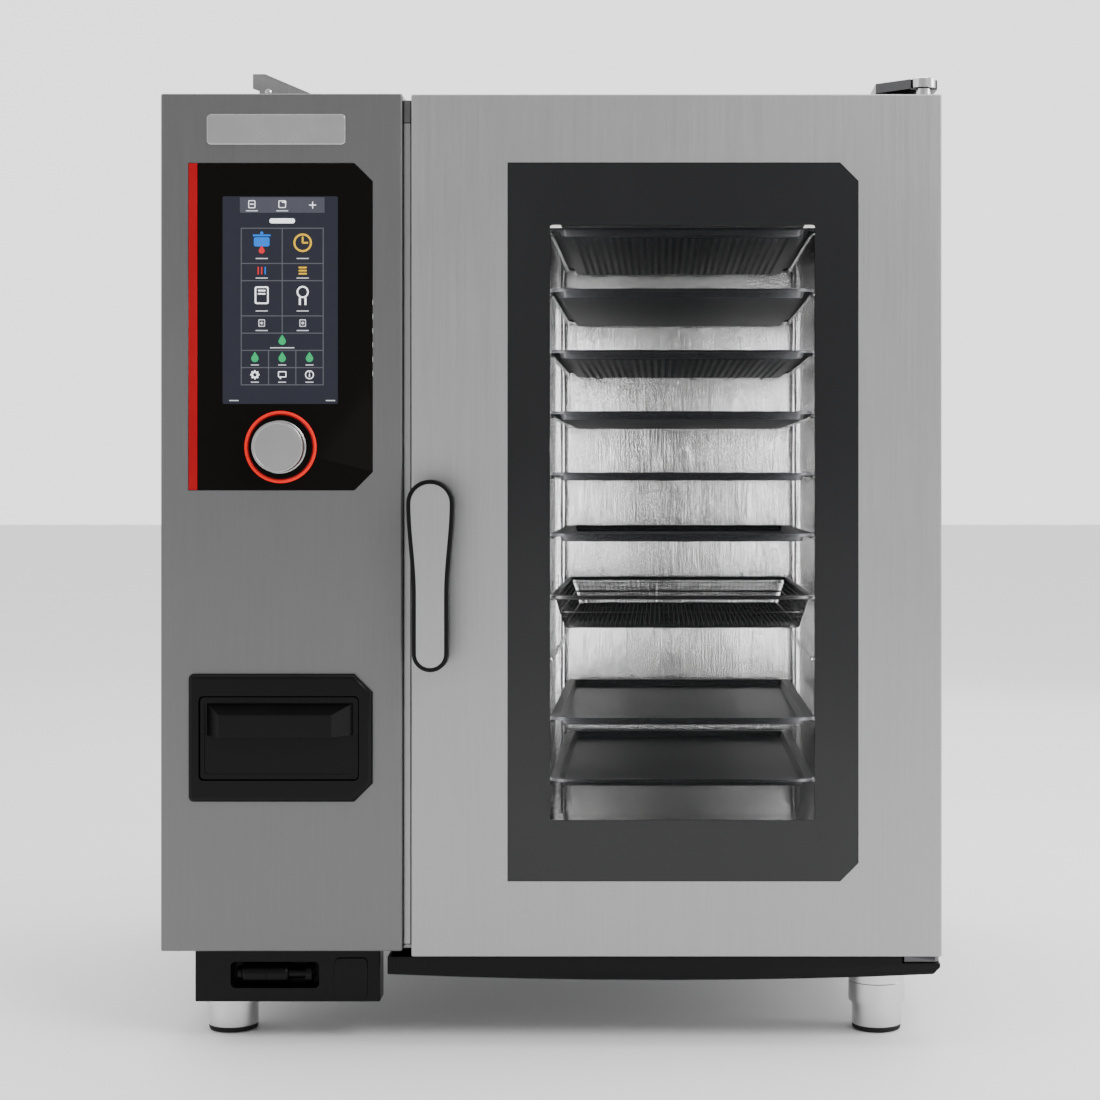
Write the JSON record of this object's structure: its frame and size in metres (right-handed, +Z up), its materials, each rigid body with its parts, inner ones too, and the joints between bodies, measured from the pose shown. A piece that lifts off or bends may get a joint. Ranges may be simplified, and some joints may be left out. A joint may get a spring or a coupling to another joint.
{
  "type": "combi steamer oven",
  "caption": "Free-standing combi steamer oven with a glass door, touch control column, knob, cleaning drawer, racks of trays and adjustable feet.",
  "frame": {"origin": "on the floor, at the middle of the width and of the depth from the handle's front to the pipe ends", "axes": "+Z up, +X to the right of someone facing the door, the door faces -Y"},
  "size_m": [0.925, 0.871, 1.1689],
  "materials": {
    "steel": "vertically brushed stainless steel",
    "bright_steel": "polished stainless steel",
    "enamel": "dark grey enamel",
    "black_glass": "tinted heat-reflecting glass with a black printed border",
    "control_glass": "gloss black glass, opaque",
    "clear_glass": "clear toughened glass",
    "black_plastic": "satin black moulded plastic",
    "rubber": "matt black silicone rubber",
    "red": "satin red plastic",
    "display": "dark grey display behind glass, opaque",
    "wool": "mineral wool",
    "board": "green circuit board",
    "lamp": "white diffuser of an LED strip",
    "motor": "dark grey painted metal",
    "aluminium": "cast aluminium"
  },
  "bodies": {
    "casing": {"accent_strip": "red", "air_baffle": "bright_steel", "base_pan": "steel", "cavity_front_frame": "steel", "cavity_liner": "bright_steel", "control_board": "board", "control_fascia": "steel", "control_glass": "control_glass", "door_gasket": "rubber", "drain_pipe": "black_plastic", "drain_strainer": "bright_steel", "drawer_bezel": "black_plastic", "drip_gutter": "black_plastic", "fan_motor": "motor", "flue_pipe": "bright_steel", "foot_front_left": "bright_steel", "foot_front_right": "bright_steel", "foot_rear_left": "bright_steel", "foot_rear_right": "bright_steel", "fry_basket_level_07": "bright_steel", "heating_coil": "enamel", "hinge_bracket_bottom": "bright_steel", "hinge_bracket_top": "bright_steel", "insulation_jacket": "wool", "knob_encoder": "black_plastic", "knob_light_ring": "red", "latch_keeper": "bright_steel", "left_side_panel": "steel", "rack_left": "bright_steel", "rack_right": "bright_steel", "rear_panel": "steel", "right_side_panel": "steel", "shower_housing": "black_plastic", "steam_injector": "bright_steel", "top_cover": "steel", "touch_display": "display", "tray_level_01": "enamel", "tray_level_02": "enamel", "tray_level_03": "enamel", "tray_level_04": "enamel", "tray_level_05": "enamel", "tray_level_06": "enamel", "tray_level_09": "enamel", "tray_level_10": "enamel", "vent_deflector": "steel", "water_inlet_valve": "black_plastic"},
    "door": {"door_outer_skin": "steel", "door_glass_outer": "black_glass", "door_inner_frame": "enamel", "door_glass_inner": "clear_glass", "door_lamp_frame": "lamp"},
    "handle": {"door_handle": "black_plastic", "handle_cover": "steel", "latch_tongue": "bright_steel"},
    "knob_slider": {"knob_shaft": "aluminium"},
    "knob": {"control_knob": "steel"},
    "drawer": {"drawer_tub": "black_plastic"},
    "hand_shower": {"shower_nozzle": "black_plastic"},
    "fan": {"fan_wheel": "aluminium"},
    "vent_flap": {"flue_flap": "bright_steel"}
  },
  "joints": [
    {"name": "door_swing", "type": "hinge", "parent": "casing", "child": "door", "pos_m": [0.4428, -0.3645, 0.613], "axis": [0, 0, 1], "range_deg": [0, 180]},
    {"name": "handle_turn", "type": "hinge", "parent": "door", "child": "handle", "pos_m": [-0.1384, -0.4195, 0.6445], "axis": [0, 1, 0], "range_deg": [-45, 45], "stiffness_Nm_per_rad": 1.5},
    {"name": "knob_push", "type": "slide", "parent": "casing", "child": "knob_slider", "axis": [0, 1, 0], "range_m": [0, 0.0015], "stiffness_N_per_m": 3000},
    {"name": "knob_turn", "type": "hinge", "parent": "knob_slider", "child": "knob", "pos_m": [-0.3202, -0.4015, 0.7109], "axis": [0, 1, 0], "continuous": true},
    {"name": "drawer_pull", "type": "slide", "parent": "casing", "child": "drawer", "axis": [0, -1, 0], "range_m": [0, 0.15]},
    {"name": "hand_shower_out", "type": "slide", "parent": "casing", "child": "hand_shower", "axis": [0, -1, 0], "range_m": [0, 0.045]},
    {"name": "fan_spin", "type": "hinge", "parent": "casing", "child": "fan", "pos_m": [-0.07, -0.0295, 0.613], "axis": [1, 0, 0], "continuous": true},
    {"name": "vent_flap_turn", "type": "hinge", "parent": "casing", "child": "vent_flap", "pos_m": [0.25, 0.1705, 1.088], "axis": [1, 0, 0], "range_deg": [0, 90]}
  ]
}
